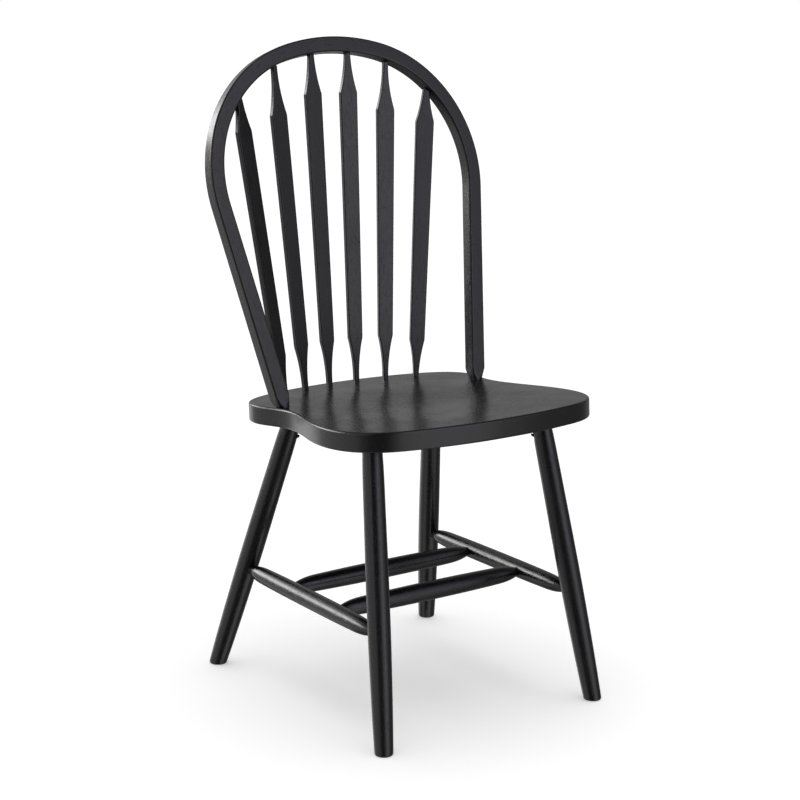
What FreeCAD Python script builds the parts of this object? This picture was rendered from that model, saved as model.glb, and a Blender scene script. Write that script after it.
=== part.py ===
import FreeCAD, Part
import math
import os

# Windsor side chair with a bent bow, six arrow-shaped spindles, a saddled seat and turned legs
#
# Millimetres. +Z is up and the floor is at z = 0. The front of the seat faces -Y and +X is the
# viewer's right when the chair is seen from the front. The origin is on the floor, under the
# middle of the chair, midway between the front of the seat and the backs of the rear feet.
# A setback is a distance along the top of the seat, measured back from its front edge.

# Seat: one solid plank, sloping down to the back, with a shallow dish for the sitter
SEAT_FRONT_HEIGHT = 457.4
SEAT_FRONT_Y = -239.25
SEAT_SLOPE = 3.26           # degrees down towards the back
SEAT_THICKNESS = 28.2
SEAT_DEPTH = 431.5
SEAT_HALF_WIDTH = 217.0     # at the front corners, the widest place
SEAT_EDGE_RADIUS = 3.0
DISH_DEPTH = 6.0
DISH_RADIUS = 160.0
DISH_SETBACK = 196.0
# Half outline of the seat from beside the front middle round to the back, through the broad
# front corner, the waist in front of the bow and the rounded back wing. Each pair is a share of
# the half width and a share of the depth.
SEAT_HALF_OUTLINE = [
    (0.323, 0.009), (0.576, 0.031), (0.793, 0.067), (0.940, 0.139), (1.000, 0.253),
    (0.954, 0.410), (0.873, 0.556), (0.864, 0.672), (0.912, 0.790), (0.862, 0.874),
    (0.691, 0.939), (0.369, 0.985),
]

# Bow: one bent stick, nearly square in section, leaning back out of the seat
BOW_FROM_BACK = 130.9       # along the seat, from its back edge
BOW_FOOT_X = 174.3
BOW_LEAN = 15.75            # degrees back from upright
BOW_HEIGHT = 529.5          # seat top to the middle of the stick, along the lean
BOW_ARM_SPLAY = 9.44        # degrees that each arm opens outwards
BOW_TOP_RADIUS = 310.0
BOW_TOP_HALF_ANGLE = 16.1   # degrees of the flatter top arc on each side of the middle
BOW_WIDTH = 23.0
BOW_FOOT_WIDTH = 24.0
BOW_THICKNESS = 22.0
BOW_EDGE_RADIUS = 3.0
BOW_TENON_RADIUS = 9.5
BOW_TENON_LENGTH = 19.0
BOW_FOOT_RADIUS = 10.5      # where the sharpened foot meets the seat
BOW_POINT_HEIGHT = 20.0     # length of the cone that sharpens each foot
BOW_POINT_RADIUS = 16.0     # of that cone at its top, past the corners of the stick

# Spindles: six flat arrow-shaped slats, fanned between the seat and the bow
SPINDLE_THICKNESS = 8.3
SPINDLE_ARC_FROM_BACK = 306.5
SPINDLE_ARC_RADIUS = 286.0
SPINDLE_ARC_STEP = 9.9      # degrees between neighbouring feet on that arc
SPINDLE_HEAD_X = [32.6, 99.9, 168.6]
SPINDLE_TURN_SHARE = 0.68   # how much of the arc's own angle each slat turns to face the sitter
SPINDLE_SHOULDERS = [(69.0, 445.0), (68.0, 417.0), (57.0, 398.0)]
SPINDLE_NECK_WIDTH = 8.0
SPINDLE_LOWER_WIDTH = 23.7
SPINDLE_UPPER_WIDTH = 29.0
SPINDLE_LOWER_FLARE = 62.0
SPINDLE_UPPER_FLARE = 68.0
SPINDLE_EASE = 1.0          # chamfer along the long edges
SPINDLE_TENON_RADIUS = 3.7
SPINDLE_FOOT_TENON = 17.0
SPINDLE_HEAD_TENON = 14.0   # past the inner face of the bow

# Legs: turned, a little swelled, splayed out to flat feet with rounded rims
FRONT_LEG_X = 147.5         # where its axis meets the underside of the seat
FRONT_LEG_SETBACK = 104.9
REAR_LEG_X = 126.7
REAR_LEG_FROM_BACK = 80.3
FRONT_FOOT_OUT = 39.7       # how far the foot stands out from the top, to the side
FRONT_FOOT_FORWARD = 87.5
REAR_FOOT_OUT = 72.8
REAR_FOOT_BACK = 118.2
LEG_FOOT_RADIUS = 13.2
LEG_LOWER_RADIUS = 15.5
LEG_MIDDLE_RADIUS = 16.4
LEG_UPPER_RADIUS = 15.5
LEG_TOP_RADIUS = 13.4
LEG_LOWER_SHARE = 0.22      # how far up the leg the lower, middle and upper radii stand
LEG_MIDDLE_SHARE = 0.5
LEG_UPPER_SHARE = 0.8
LEG_FOOT_FALL = 0.5         # how much narrower the turning runs on past the foot and the top
LEG_TOP_FALL = 1.0
LEG_TENON_RADIUS = 12.7
LEG_TENON_LENGTH = 17.0
FOOT_RIM_RADIUS = 3.0

# Stretchers: two along the sides and two across, cigar-shaped with tapered ends
SIDE_STRETCHER_HEIGHT = 162.7
SIDE_STRETCHER_RADIUS = 13.5
SIDE_SHOULDER_RADIUS = 12.7
CROSS_STRETCHER_RADIUS = 14.2
CROSS_SHOULDER_RADIUS = 13.1
STRETCHER_TAPER = 45.0
STRETCHER_NOSE_SHARE = 0.35     # this far along the taper the nose has swelled by the next share
STRETCHER_SWELL_SHARE = 0.66
STRETCHER_TENON_RADIUS = 6.8
SIDE_TENON_DEPTH = 19.0     # into the leg, from its surface
CROSS_TENON_DEPTH = 15.0    # into the side stretcher, from its surface
FRONT_CROSS_SHARE = 0.325   # how far back from the front leg each cross stretcher is fixed
REAR_CROSS_SHARE = 0.667

# Lock screws: one pan-head screw on the inner side of each leg, driven up through it into the seat
SCREW_RADIUS = 2.2
SCREW_LENGTH = 50.0
SCREW_POINT = 6.0
SCREW_HEAD_RADIUS = 4.4
SCREW_HEAD_HEIGHT = 3.2
SCREW_HEAD_SINK = 1.5       # how far the seat of the head lies inside the leg's surface
SCREW_DROP = 27.0           # down the leg, from the seat's underside to the head
SCREW_RISE = 55.0           # degrees up the leg from square across it

# Clearances between the pieces
GLUE_GAP = 0.12             # round a tenon in its hole
SHOULDER_GAP = 0.15         # between a shoulder and the face that it stands on
BOTTOM_GAP = 1.0            # under the end of a tenon
PILOT_GAP = 0.06            # round a screw
CUTTER_MARGIN = 40.0        # how far a cutting solid runs past what it cuts


def vector(x, y, z):
    return FreeCAD.Vector(x, y, z)


def seat_point(x, setback, lift=0.0):
    """A point given by its place on the top of the seat and its distance above that face."""
    slope = math.radians(SEAT_SLOPE)
    y = SEAT_FRONT_Y + setback * math.cos(slope) + lift * math.sin(slope)
    z = SEAT_FRONT_HEIGHT - setback * math.sin(slope) + lift * math.cos(slope)
    return vector(x, y, z)


def seat_placement():
    """Carries a solid drawn flat, with setback along +Y and its top at z = 0, to the seat."""
    turn = FreeCAD.Rotation(vector(1, 0, 0), -SEAT_SLOPE)
    return FreeCAD.Placement(seat_point(0, 0), turn)


def bow_placement():
    """Carries a solid drawn in X and Y, thickness along Z, to the leaning plane of the bow."""
    turn = FreeCAD.Rotation(vector(1, 0, 0), 90 - BOW_LEAN)
    return FreeCAD.Placement(seat_point(0, SEAT_DEPTH - BOW_FROM_BACK), turn)


def bow_point(x, height):
    return bow_placement().multVec(vector(x, height, 0))


def placed(solid, placement):
    """Moves a solid from the frame that it was drawn in to where the placement puts it."""
    solid.Placement = placement.multiply(solid.Placement)
    return solid


def along(solid, start, end):
    """Turns a solid built up the Z axis so that it starts at one point and aims at another."""
    return placed(solid, FreeCAD.Placement(start, FreeCAD.Rotation(vector(0, 0, 1), end - start)))


def rod(radius, start, end):
    return Part.makeCylinder(radius, (end - start).Length, start, end - start)


def turned(profile):
    """Turns a smooth profile of (radius, height) points round the Z axis."""
    points = [vector(radius, 0, height) for radius, height in profile]
    curve = Part.BSplineCurve()
    curve.interpolate(points)
    foot = vector(0, 0, points[0].z)
    head = vector(0, 0, points[-1].z)
    edges = [Part.makeLine(foot, points[0]), curve.toShape()]
    edges += [Part.makeLine(points[-1], head), Part.makeLine(head, foot)]
    face = Part.Face(Part.Wire(edges))
    return face.revolve(vector(0, 0, 0), vector(0, 0, 1), 360)


def arc(first, middle, last):
    return Part.Arc(first, middle, last).toShape()


def mirrored(shape):
    return shape.mirror(vector(0, 0, 0), vector(1, 0, 0))


def above_seat(lift):
    """A slab that fills the space above the seat's top face, from the given lift upwards."""
    reach = SEAT_DEPTH + CUTTER_MARGIN
    corner = vector(-reach, -reach / 2, lift)
    slab = Part.makeBox(2 * reach, 2 * reach, BOW_HEIGHT + BOW_FOOT_X, corner)
    return placed(slab, seat_placement())


# The bow's middle line, in its own plane: x across, height up from the seat

def bow_side_radius():
    """Radius of the side arcs that carries the top arc into the splayed arms."""
    top = math.radians(BOW_TOP_HALF_ANGLE)
    end = math.radians(90 + BOW_ARM_SPLAY)
    splay = math.radians(BOW_ARM_SPLAY)
    # the arm's line through the foot fixes the distance from it to the centre of the side arc
    centre_x = BOW_TOP_RADIUS * math.sin(top)
    centre_y = BOW_HEIGHT - BOW_TOP_RADIUS + BOW_TOP_RADIUS * math.cos(top)
    reach = (BOW_FOOT_X - centre_x) * math.sin(end) - (0 - centre_y) * math.sin(splay)
    # moving in from the joint by the radius shifts the centre, so the radius solves one equation
    shrink = 1 - math.sin(top) * math.sin(end) - math.cos(top) * math.cos(end)
    return reach / shrink


def bow_arcs(offset):
    """Centres and radii of the top arc and right side arc, moved outwards by an offset."""
    top = math.radians(BOW_TOP_HALF_ANGLE)
    side = bow_side_radius()
    top_centre = vector(0, BOW_HEIGHT - BOW_TOP_RADIUS, 0)
    shift = BOW_TOP_RADIUS - side
    side_centre = top_centre + vector(shift * math.sin(top), shift * math.cos(top), 0)
    return top_centre, BOW_TOP_RADIUS + offset, side_centre, side + offset


def on_arc(centre, radius, degrees):
    """A point on an arc, by its angle from straight up, positive to the right."""
    angle = math.radians(degrees)
    return centre + vector(radius * math.sin(angle), radius * math.cos(angle), 0)


def bow_side_points(offset, foot_offset, tail):
    """Joint, middle and end of the right side arc, and the tail of the arm below the seat."""
    centre, radius = bow_arcs(offset)[2:]
    end_angle = 90 + BOW_ARM_SPLAY
    joint = on_arc(centre, radius, BOW_TOP_HALF_ANGLE)
    middle = on_arc(centre, radius, (BOW_TOP_HALF_ANGLE + end_angle) / 2)
    end = on_arc(centre, radius, end_angle)
    splay = math.radians(BOW_ARM_SPLAY)
    down = vector(-math.sin(splay), -math.cos(splay), 0)
    outward = vector(math.cos(splay), -math.sin(splay), 0)
    foot = vector(BOW_FOOT_X, 0, 0) + down * tail + outward * foot_offset
    return joint, middle, end, foot


def flip(point):
    return vector(-point.x, point.y, point.z)


def bow_line(offset, foot_offset, tail):
    """Edges of the bow's outline at an offset, from the right foot over the top to the left."""
    joint, middle, end, foot = bow_side_points(offset, foot_offset, tail)
    top_centre, top_radius = bow_arcs(offset)[:2]
    crown = on_arc(top_centre, top_radius, 0)
    return [
        Part.makeLine(foot, end), arc(end, middle, joint), arc(joint, crown, flip(joint)),
        arc(flip(joint), flip(middle), flip(end)), Part.makeLine(flip(end), flip(foot)),
    ]


def bow_foot_cutter():
    """The ring that sharpens the right foot of the bow to a cone."""
    outside = BOW_FOOT_WIDTH + BOW_THICKNESS
    low = -BOW_TENON_LENGTH - CUTTER_MARGIN
    outline = [
        (BOW_FOOT_RADIUS, low), (BOW_FOOT_RADIUS, 0), (BOW_POINT_RADIUS, BOW_POINT_HEIGHT),
        (outside, BOW_POINT_HEIGHT), (outside, low), (BOW_FOOT_RADIUS, low),
    ]
    wire = Part.makePolygon([vector(radius, 0, height) for radius, height in outline])
    ring = Part.Face(wire).revolve(vector(0, 0, 0), vector(0, 0, 1), 360)
    foot = bow_point(BOW_FOOT_X, 0)
    return along(ring, foot, foot + bow_arm_direction())


def bow_tenon(radius, depth, rise):
    """A rod along the right arm of the bow, from a depth in the seat to a rise above it."""
    foot = bow_point(BOW_FOOT_X, 0)
    direction = bow_arm_direction()
    return rod(radius, foot - direction * depth, foot + direction * rise)


def bow_arm_direction():
    """Unit direction up the right arm of the bow."""
    splay = math.radians(BOW_ARM_SPLAY)
    return bow_point(math.sin(splay), math.cos(splay)) - bow_point(0, 0)


def bow_blank():
    """The bent stick with its eased edges and sharpened feet, before it is bored."""
    half = BOW_WIDTH / 2
    foot_half = BOW_FOOT_WIDTH / 2
    outer = bow_line(half, foot_half, BOW_TENON_LENGTH)
    inner = bow_line(-half, -foot_half, BOW_TENON_LENGTH)
    right_end = Part.makeLine(outer[0].valueAt(outer[0].FirstParameter),
                              inner[0].valueAt(inner[0].FirstParameter))
    left_end = Part.makeLine(outer[-1].valueAt(outer[-1].LastParameter),
                             inner[-1].valueAt(inner[-1].LastParameter))
    wire = Part.Wire(Part.__sortEdges__(outer + inner + [right_end, left_end]))
    stick = Part.Face(wire).extrude(vector(0, 0, BOW_THICKNESS))
    stick.translate(vector(0, 0, -BOW_THICKNESS / 2))
    long_edges = [edge for edge in stick.Edges if runs_along_bow(edge)]
    stick = stick.makeFillet(BOW_EDGE_RADIUS, long_edges)
    stick = placed(stick, bow_placement())
    cutter = bow_foot_cutter()
    stick = stick.cut(cutter).cut(mirrored(cutter)).common(above_seat(SHOULDER_GAP))
    tenon = bow_tenon(BOW_TENON_RADIUS, BOW_TENON_LENGTH, BOW_POINT_HEIGHT / 2)
    return stick.fuse([tenon, mirrored(tenon)]).removeSplitter()


def runs_along_bow(edge):
    """True for the edges of the stick that follow it, which lie in its front and back faces."""
    ends = [vertex.Point for vertex in edge.Vertexes]
    flat = abs(ends[0].z - ends[-1].z) < BOW_THICKNESS / 2
    return flat and edge.Length > 2 * BOW_FOOT_WIDTH


def bow_opening():
    """The space inside the bow, which trims the heads of the spindles to its inner face."""
    half = BOW_WIDTH / 2 + SHOULDER_GAP
    foot_half = BOW_FOOT_WIDTH / 2 + SHOULDER_GAP
    inner = bow_line(-half, -foot_half, BOW_TENON_LENGTH + CUTTER_MARGIN)
    base = Part.makeLine(inner[-1].valueAt(inner[-1].LastParameter),
                         inner[0].valueAt(inner[0].FirstParameter))
    wire = Part.Wire(Part.__sortEdges__(inner + [base]))
    depth = 2 * (SPINDLE_ARC_RADIUS + CUTTER_MARGIN)
    space = Part.Face(wire).extrude(vector(0, 0, depth))
    space.translate(vector(0, 0, -depth / 2))
    return placed(space, bow_placement())


def bow_height_at(x):
    """Height of the bow's middle line over a sideways place within its top and side arcs."""
    top_centre, top_radius, side_centre, side_radius = bow_arcs(0)
    if x <= top_radius * math.sin(math.radians(BOW_TOP_HALF_ANGLE)):
        return top_centre.y + math.sqrt(top_radius ** 2 - x ** 2)
    return side_centre.y + math.sqrt(side_radius ** 2 - (x - side_centre.x) ** 2)


# Spindle places. Row 0 is the pair nearest the middle, row 2 the outermost pair.

def spindle_angle(row):
    return (row + 0.5) * SPINDLE_ARC_STEP


def spindle_foot(row):
    angle = math.radians(spindle_angle(row))
    x = SPINDLE_ARC_RADIUS * math.sin(angle)
    arc_centre = SEAT_DEPTH - SPINDLE_ARC_FROM_BACK
    return seat_point(x, arc_centre + SPINDLE_ARC_RADIUS * math.cos(angle))


def spindle_head(row):
    x = SPINDLE_HEAD_X[row]
    return bow_point(x, bow_height_at(x))


def spindle_direction(row):
    return (spindle_head(row) - spindle_foot(row)).normalize()


def spindle_head_reach(row):
    """Distance from the foot to the inner face of the bow, along the spindle's axis."""
    foot = spindle_foot(row)
    line = Part.makeLine(foot, spindle_head(row))
    return line.common(bow_opening()).Length


def spindle_outline(row):
    """Flat arrow outline: neck, lower flare, long blade, upper flare and neck again."""
    lower, upper = SPINDLE_SHOULDERS[row]
    neck = SPINDLE_NECK_WIDTH / 2
    length = (spindle_head(row) - spindle_foot(row)).Length + SPINDLE_HEAD_TENON
    low_point = vector(SPINDLE_LOWER_WIDTH / 2, lower, 0)
    high_point = vector(SPINDLE_UPPER_WIDTH / 2, upper, 0)
    low_neck = vector(neck, lower - SPINDLE_LOWER_FLARE, 0)
    high_neck = vector(neck, upper + SPINDLE_UPPER_FLARE, 0)
    bottom = vector(neck, min(low_neck.y, 0) - SPINDLE_THICKNESS, 0)
    top = vector(neck, max(length, high_neck.y + 1), 0)
    right = [
        Part.makeLine(bottom, low_neck), flare(low_neck, low_point),
        Part.makeLine(low_point, high_point), flare(high_neck, high_point),
        Part.makeLine(high_neck, top),
    ]
    left = [edge.mirror(vector(0, 0, 0), vector(1, 0, 0)) for edge in right]
    ends = [Part.makeLine(flip(bottom), bottom), Part.makeLine(flip(top), top)]
    return Part.Wire(Part.__sortEdges__(right + left + ends))


def flare(neck, shoulder):
    """Hollow arc that leaves the neck in line with it and swings out to the shoulder."""
    run = shoulder.y - neck.y
    rise = shoulder.x - neck.x
    radius = (run ** 2 + rise ** 2) / (2 * rise)
    half_angle = math.asin(run / radius) / 2
    half = neck + vector(radius * (1 - math.cos(half_angle)), radius * math.sin(half_angle), 0)
    return arc(neck, half, shoulder)


def spindle(row):
    """One arrow spindle of the right half, with a round tenon at each end."""
    blade = Part.Face(spindle_outline(row)).extrude(vector(0, 0, SPINDLE_THICKNESS))
    blade.translate(vector(0, 0, -SPINDLE_THICKNESS / 2))
    rims = [edge for edge in blade.Edges if not stands_across(edge)]
    blade = blade.makeChamfer(SPINDLE_EASE, rims)
    foot = spindle_foot(row)
    direction = spindle_direction(row)
    turn = math.radians(SPINDLE_TURN_SHARE * spindle_angle(row))
    across = vector(math.cos(turn), -math.sin(turn), 0)
    front = across.cross(direction).normalize()
    across = direction.cross(front)
    facing = FreeCAD.Rotation(across, direction, front, "YXZ")
    blade = placed(blade, FreeCAD.Placement(foot, facing))
    blade = blade.common(above_seat(SHOULDER_GAP)).common(bow_opening())
    reach = spindle_head_reach(row)
    peg = rod(SPINDLE_TENON_RADIUS, foot - direction * SPINDLE_FOOT_TENON,
              foot + direction * (reach + SPINDLE_HEAD_TENON))
    return blade.fuse(peg).removeSplitter()


def stands_across(edge):
    """True for the short edges that run through the thickness of a slat."""
    ends = [vertex.Point for vertex in edge.Vertexes]
    return abs(ends[0].z - ends[-1].z) > SPINDLE_THICKNESS / 2


def spindle_holes(row):
    """The hole in the seat and the hole in the bow for one spindle of the right half."""
    foot = spindle_foot(row)
    direction = spindle_direction(row)
    radius = SPINDLE_TENON_RADIUS + GLUE_GAP
    reach = spindle_head_reach(row)
    seat_end = foot - direction * (SPINDLE_FOOT_TENON + BOTTOM_GAP)
    seat_hole = rod(radius, seat_end, foot + direction * CUTTER_MARGIN)
    bow_end = foot + direction * (reach + SPINDLE_HEAD_TENON + BOTTOM_GAP)
    bow_hole = rod(radius, bow_end - direction * (SPINDLE_HEAD_TENON + CUTTER_MARGIN), bow_end)
    return seat_hole, bow_hole


def bow():
    solid = bow_blank()
    for row in range(len(SPINDLE_SHOULDERS)):
        hole = spindle_holes(row)[1]
        solid = solid.cut(hole).cut(mirrored(hole))
    return solid


# Legs. Each is given by the middle of its foot and where its axis meets the seat's underside.

def leg_line(end):
    """Foot and seat points of the right leg at the front or the rear."""
    if end == "front":
        seat = seat_point(FRONT_LEG_X, FRONT_LEG_SETBACK, -SEAT_THICKNESS)
        return vector(seat.x + FRONT_FOOT_OUT, seat.y - FRONT_FOOT_FORWARD, 0), seat
    seat = seat_point(REAR_LEG_X, SEAT_DEPTH - REAR_LEG_FROM_BACK, -SEAT_THICKNESS)
    return vector(seat.x + REAR_FOOT_OUT, seat.y + REAR_FOOT_BACK, 0), seat


def leg_profile(length):
    """Radius and distance up the leg, carried on past both ends for trimming."""
    past = LEG_TOP_RADIUS
    return [
        (LEG_FOOT_RADIUS - LEG_FOOT_FALL, -past), (LEG_FOOT_RADIUS, 0),
        (LEG_LOWER_RADIUS, LEG_LOWER_SHARE * length),
        (LEG_MIDDLE_RADIUS, LEG_MIDDLE_SHARE * length),
        (LEG_UPPER_RADIUS, LEG_UPPER_SHARE * length),
        (LEG_TOP_RADIUS, length), (LEG_TOP_RADIUS - LEG_TOP_FALL, length + past),
    ]


def leg_radius_at(height, end):
    """Radius of the leg at a height above the floor, read from its turned profile."""
    foot, seat = leg_line(end)
    share = height / seat.z
    length = (seat - foot).Length
    curve = Part.BSplineCurve()
    curve.interpolate([vector(radius, 0, up) for radius, up in leg_profile(length)])
    level = Part.Line(vector(0, 0, share * length), vector(1, 0, share * length))
    return curve.intersectCC(level)[0].X


def leg_point_at(height, end):
    foot, seat = leg_line(end)
    return foot + (seat - foot) * (height / seat.z)


def leg_tenon(end, radius, depth):
    """A rod along the leg's axis, from below the seat's underside up into the seat."""
    foot, seat = leg_line(end)
    direction = (seat - foot).normalize()
    return rod(radius, seat - direction * CUTTER_MARGIN / 2, seat + direction * depth)


def leg(end):
    """One right-hand leg, with its tenon, flat foot and the holes that are bored in it."""
    foot, seat = leg_line(end)
    body = along(turned(leg_profile((seat - foot).Length)), foot, seat)
    reach = SEAT_DEPTH + CUTTER_MARGIN
    under_floor = Part.makeBox(4 * reach, 4 * reach, CUTTER_MARGIN,
                               vector(-2 * reach, -2 * reach, -CUTTER_MARGIN))
    body = body.cut(under_floor).cut(above_seat(-SEAT_THICKNESS - SHOULDER_GAP))
    rim = [edge for edge in body.Edges if edge.BoundBox.ZMax < FOOT_RIM_RADIUS]
    body = body.makeFillet(FOOT_RIM_RADIUS, rim)
    body = body.fuse(leg_tenon(end, LEG_TENON_RADIUS, LEG_TENON_LENGTH))
    body = body.cut(side_stretcher_hole(end)).cut(screw_hole(end)).cut(screw_pocket(end))
    return body.removeSplitter()


# Stretchers

def side_ends():
    """Where the right side stretcher's axis meets the axes of the front and rear legs."""
    return leg_point_at(SIDE_STRETCHER_HEIGHT, "front"), leg_point_at(SIDE_STRETCHER_HEIGHT, "rear")


def side_stretcher_span():
    front, rear = side_ends()
    return (rear - front).Length


def stretcher_profile(length, inset_start, inset_end, shoulder_radius, middle_radius):
    """Cigar profile between two end insets, each the distance from an axis to its shoulder."""
    start = inset_start
    end = length - inset_end
    nose = STRETCHER_NOSE_SHARE * STRETCHER_TAPER
    swell = STRETCHER_SWELL_SHARE * (shoulder_radius - STRETCHER_TENON_RADIUS)
    near = STRETCHER_TENON_RADIUS + swell
    return [
        (STRETCHER_TENON_RADIUS, start), (near, start + nose),
        (shoulder_radius, start + STRETCHER_TAPER), (middle_radius, length / 2),
        (shoulder_radius, end - STRETCHER_TAPER), (near, end - nose),
        (STRETCHER_TENON_RADIUS, end),
    ]


def leg_inset(end):
    """Distance from the leg's axis at which the stretcher's shoulder clears the leg all round."""
    front, rear = side_ends()
    foot, seat = leg_line(end)
    angle = (rear - front).getAngle(seat - foot)
    radius = leg_radius_at(SIDE_STRETCHER_HEIGHT, end)
    lean = STRETCHER_TENON_RADIUS * abs(math.cos(angle))
    return (radius + lean) / math.sin(angle) + SHOULDER_GAP


def side_stretcher():
    """The right side stretcher, bored for the two cross stretchers."""
    front, rear = side_ends()
    length = side_stretcher_span()
    profile = stretcher_profile(length, leg_inset("front"), leg_inset("rear"),
                                SIDE_SHOULDER_RADIUS, SIDE_STRETCHER_RADIUS)
    solid = along(turned(profile), front, rear)
    direction = (rear - front).normalize()
    start = front + direction * (leg_inset("front") - SHOULDER_GAP - SIDE_TENON_DEPTH)
    end = rear - direction * (leg_inset("rear") - SHOULDER_GAP - SIDE_TENON_DEPTH)
    solid = solid.fuse(rod(STRETCHER_TENON_RADIUS, start, end))
    for share in (FRONT_CROSS_SHARE, REAR_CROSS_SHARE):
        solid = solid.cut(cross_stretcher_hole(share))
    return solid.removeSplitter()


def side_stretcher_hole(end):
    """The hole in a right-hand leg for the side stretcher's tenon."""
    front, rear = side_ends()
    here, there = (front, rear) if end == "front" else (rear, front)
    direction = (there - here).normalize()
    surface = leg_inset(end) - SHOULDER_GAP
    bottom = here + direction * (surface - SIDE_TENON_DEPTH - BOTTOM_GAP)
    return rod(STRETCHER_TENON_RADIUS + GLUE_GAP, bottom, here + direction * CUTTER_MARGIN)


def cross_point(share):
    front, rear = side_ends()
    return front + (rear - front) * share


def cross_inset():
    return SIDE_STRETCHER_RADIUS + SHOULDER_GAP


def cross_stretcher(share):
    """A stretcher across the chair, from the left side stretcher to the right one."""
    right = cross_point(share)
    left = flip(right)
    length = (right - left).Length
    inset = cross_inset()
    profile = stretcher_profile(length, inset, inset, CROSS_SHOULDER_RADIUS,
                                CROSS_STRETCHER_RADIUS)
    solid = along(turned(profile), left, right)
    tuck = vector(SIDE_STRETCHER_RADIUS - CROSS_TENON_DEPTH, 0, 0)
    tenon = rod(STRETCHER_TENON_RADIUS, left + tuck, right - tuck)
    return solid.fuse(tenon).removeSplitter()


def cross_stretcher_hole(share):
    """The hole in the right side stretcher for a cross stretcher's tenon."""
    centre = cross_point(share)
    depth = CROSS_TENON_DEPTH + BOTTOM_GAP - SIDE_STRETCHER_RADIUS
    return rod(STRETCHER_TENON_RADIUS + GLUE_GAP, centre - vector(CUTTER_MARGIN, 0, 0),
               centre + vector(depth, 0, 0))


# Lock screws

def screw_line(end):
    """Seat of the head and direction of the lock screw in a right-hand leg."""
    foot, seat = leg_line(end)
    up = (seat - foot).normalize()
    middle = seat - up * SCREW_DROP
    inward = seat_point(0, SEAT_DEPTH / 2) - middle
    inward = (inward - up * inward.dot(up)).normalize()
    depth = leg_radius_at(middle.z, end) - SCREW_HEAD_SINK
    rise = math.radians(SCREW_RISE)
    return middle + inward * depth, up * math.sin(rise) - inward * math.cos(rise)


def screw(end):
    """A pan-head screw: flat head with a rounded rim, plain shank and a tapered tip."""
    head = Part.makeCylinder(SCREW_HEAD_RADIUS, SCREW_HEAD_HEIGHT, vector(0, 0, -SCREW_HEAD_HEIGHT))
    rim = [edge for edge in head.Edges if edge.BoundBox.ZMax < -SCREW_HEAD_HEIGHT / 2]
    head = head.makeFillet(SCREW_HEAD_HEIGHT / 2, rim)
    shank_length = SCREW_LENGTH - SCREW_POINT
    shank = Part.makeCylinder(SCREW_RADIUS, shank_length)
    tip = Part.makeCone(SCREW_RADIUS, SCREW_RADIUS / 4, SCREW_POINT, vector(0, 0, shank_length))
    solid = head.fuse([shank, tip]).removeSplitter()
    head_seat, direction = screw_line(end)
    return along(solid, head_seat, head_seat + direction)


def screw_hole(end):
    head_seat, direction = screw_line(end)
    reach = SCREW_LENGTH + BOTTOM_GAP
    return rod(SCREW_RADIUS + PILOT_GAP, head_seat - direction, head_seat + direction * reach)


def screw_pocket(end):
    """The flat-bottomed pocket that the screw's head stands in."""
    head_seat, direction = screw_line(end)
    return rod(SCREW_HEAD_RADIUS + GLUE_GAP, head_seat - direction * CUTTER_MARGIN / 2,
               head_seat + direction * PILOT_GAP)


def leg_screws():
    solids = []
    for end in ("front", "rear"):
        solids += [screw(end), mirrored(screw(end))]
    return Part.makeCompound(solids)


# Seat

def seat_outline():
    right = [vector(across * SEAT_HALF_WIDTH, back * SEAT_DEPTH, 0)
             for across, back in SEAT_HALF_OUTLINE]
    left = [flip(point) for point in reversed(right)]
    points = [vector(0, 0, 0)] + right + [vector(0, SEAT_DEPTH, 0)] + left
    curve = Part.BSplineCurve()
    curve.interpolate(Points=points, PeriodicFlag=True)
    return Part.Wire(curve.toShape())


def seat_top_cutter():
    """Everything above the seat's top face: flat all round, with the dish sunk in its middle."""
    steps = 6
    points = []
    for step in range(steps + 1):
        share = step / steps
        depth = DISH_DEPTH * (1 + math.cos(math.pi * share)) / 2
        points.append(vector(DISH_RADIUS * share, 0, -depth))
    dish = Part.BSplineCurve()
    dish.interpolate(Points=points, InitialTangent=vector(1, 0, 0), FinalTangent=vector(1, 0, 0))
    reach = SEAT_DEPTH + CUTTER_MARGIN
    corners = [points[-1], vector(reach, 0, 0), vector(reach, 0, CUTTER_MARGIN),
               vector(0, 0, CUTTER_MARGIN), points[0]]
    edges = [dish.toShape()] + [Part.makeLine(a, b) for a, b in zip(corners, corners[1:])]
    space = Part.Face(Part.Wire(edges)).revolve(vector(0, 0, 0), vector(0, 0, 1), 360)
    space.translate(vector(0, DISH_SETBACK, 0))
    return space


def seat():
    """The plank: shaped outline, dished top, eased edges, and the holes for all that it holds."""
    blank = Part.Face(seat_outline()).extrude(vector(0, 0, SEAT_THICKNESS + SEAT_EDGE_RADIUS))
    blank.translate(vector(0, 0, -SEAT_THICKNESS))
    plank = blank.cut(seat_top_cutter())
    widest_dish = DISH_RADIUS + SEAT_HALF_WIDTH
    rims = [edge for edge in plank.Edges if edge.BoundBox.XLength > widest_dish]
    plank = plank.makeFillet(SEAT_EDGE_RADIUS, rims)
    plank = placed(plank, seat_placement())
    holes = []
    for row in range(len(SPINDLE_SHOULDERS)):
        holes.append(spindle_holes(row)[0])
    for end in ("front", "rear"):
        holes.append(leg_tenon(end, LEG_TENON_RADIUS + GLUE_GAP, LEG_TENON_LENGTH + BOTTOM_GAP))
        holes.append(screw_hole(end))
    holes.append(bow_tenon(BOW_TENON_RADIUS + GLUE_GAP, BOW_TENON_LENGTH + BOTTOM_GAP,
                           CUTTER_MARGIN))
    for hole in holes:
        plank = plank.cut(hole).cut(mirrored(hole))
    return plank


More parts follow.
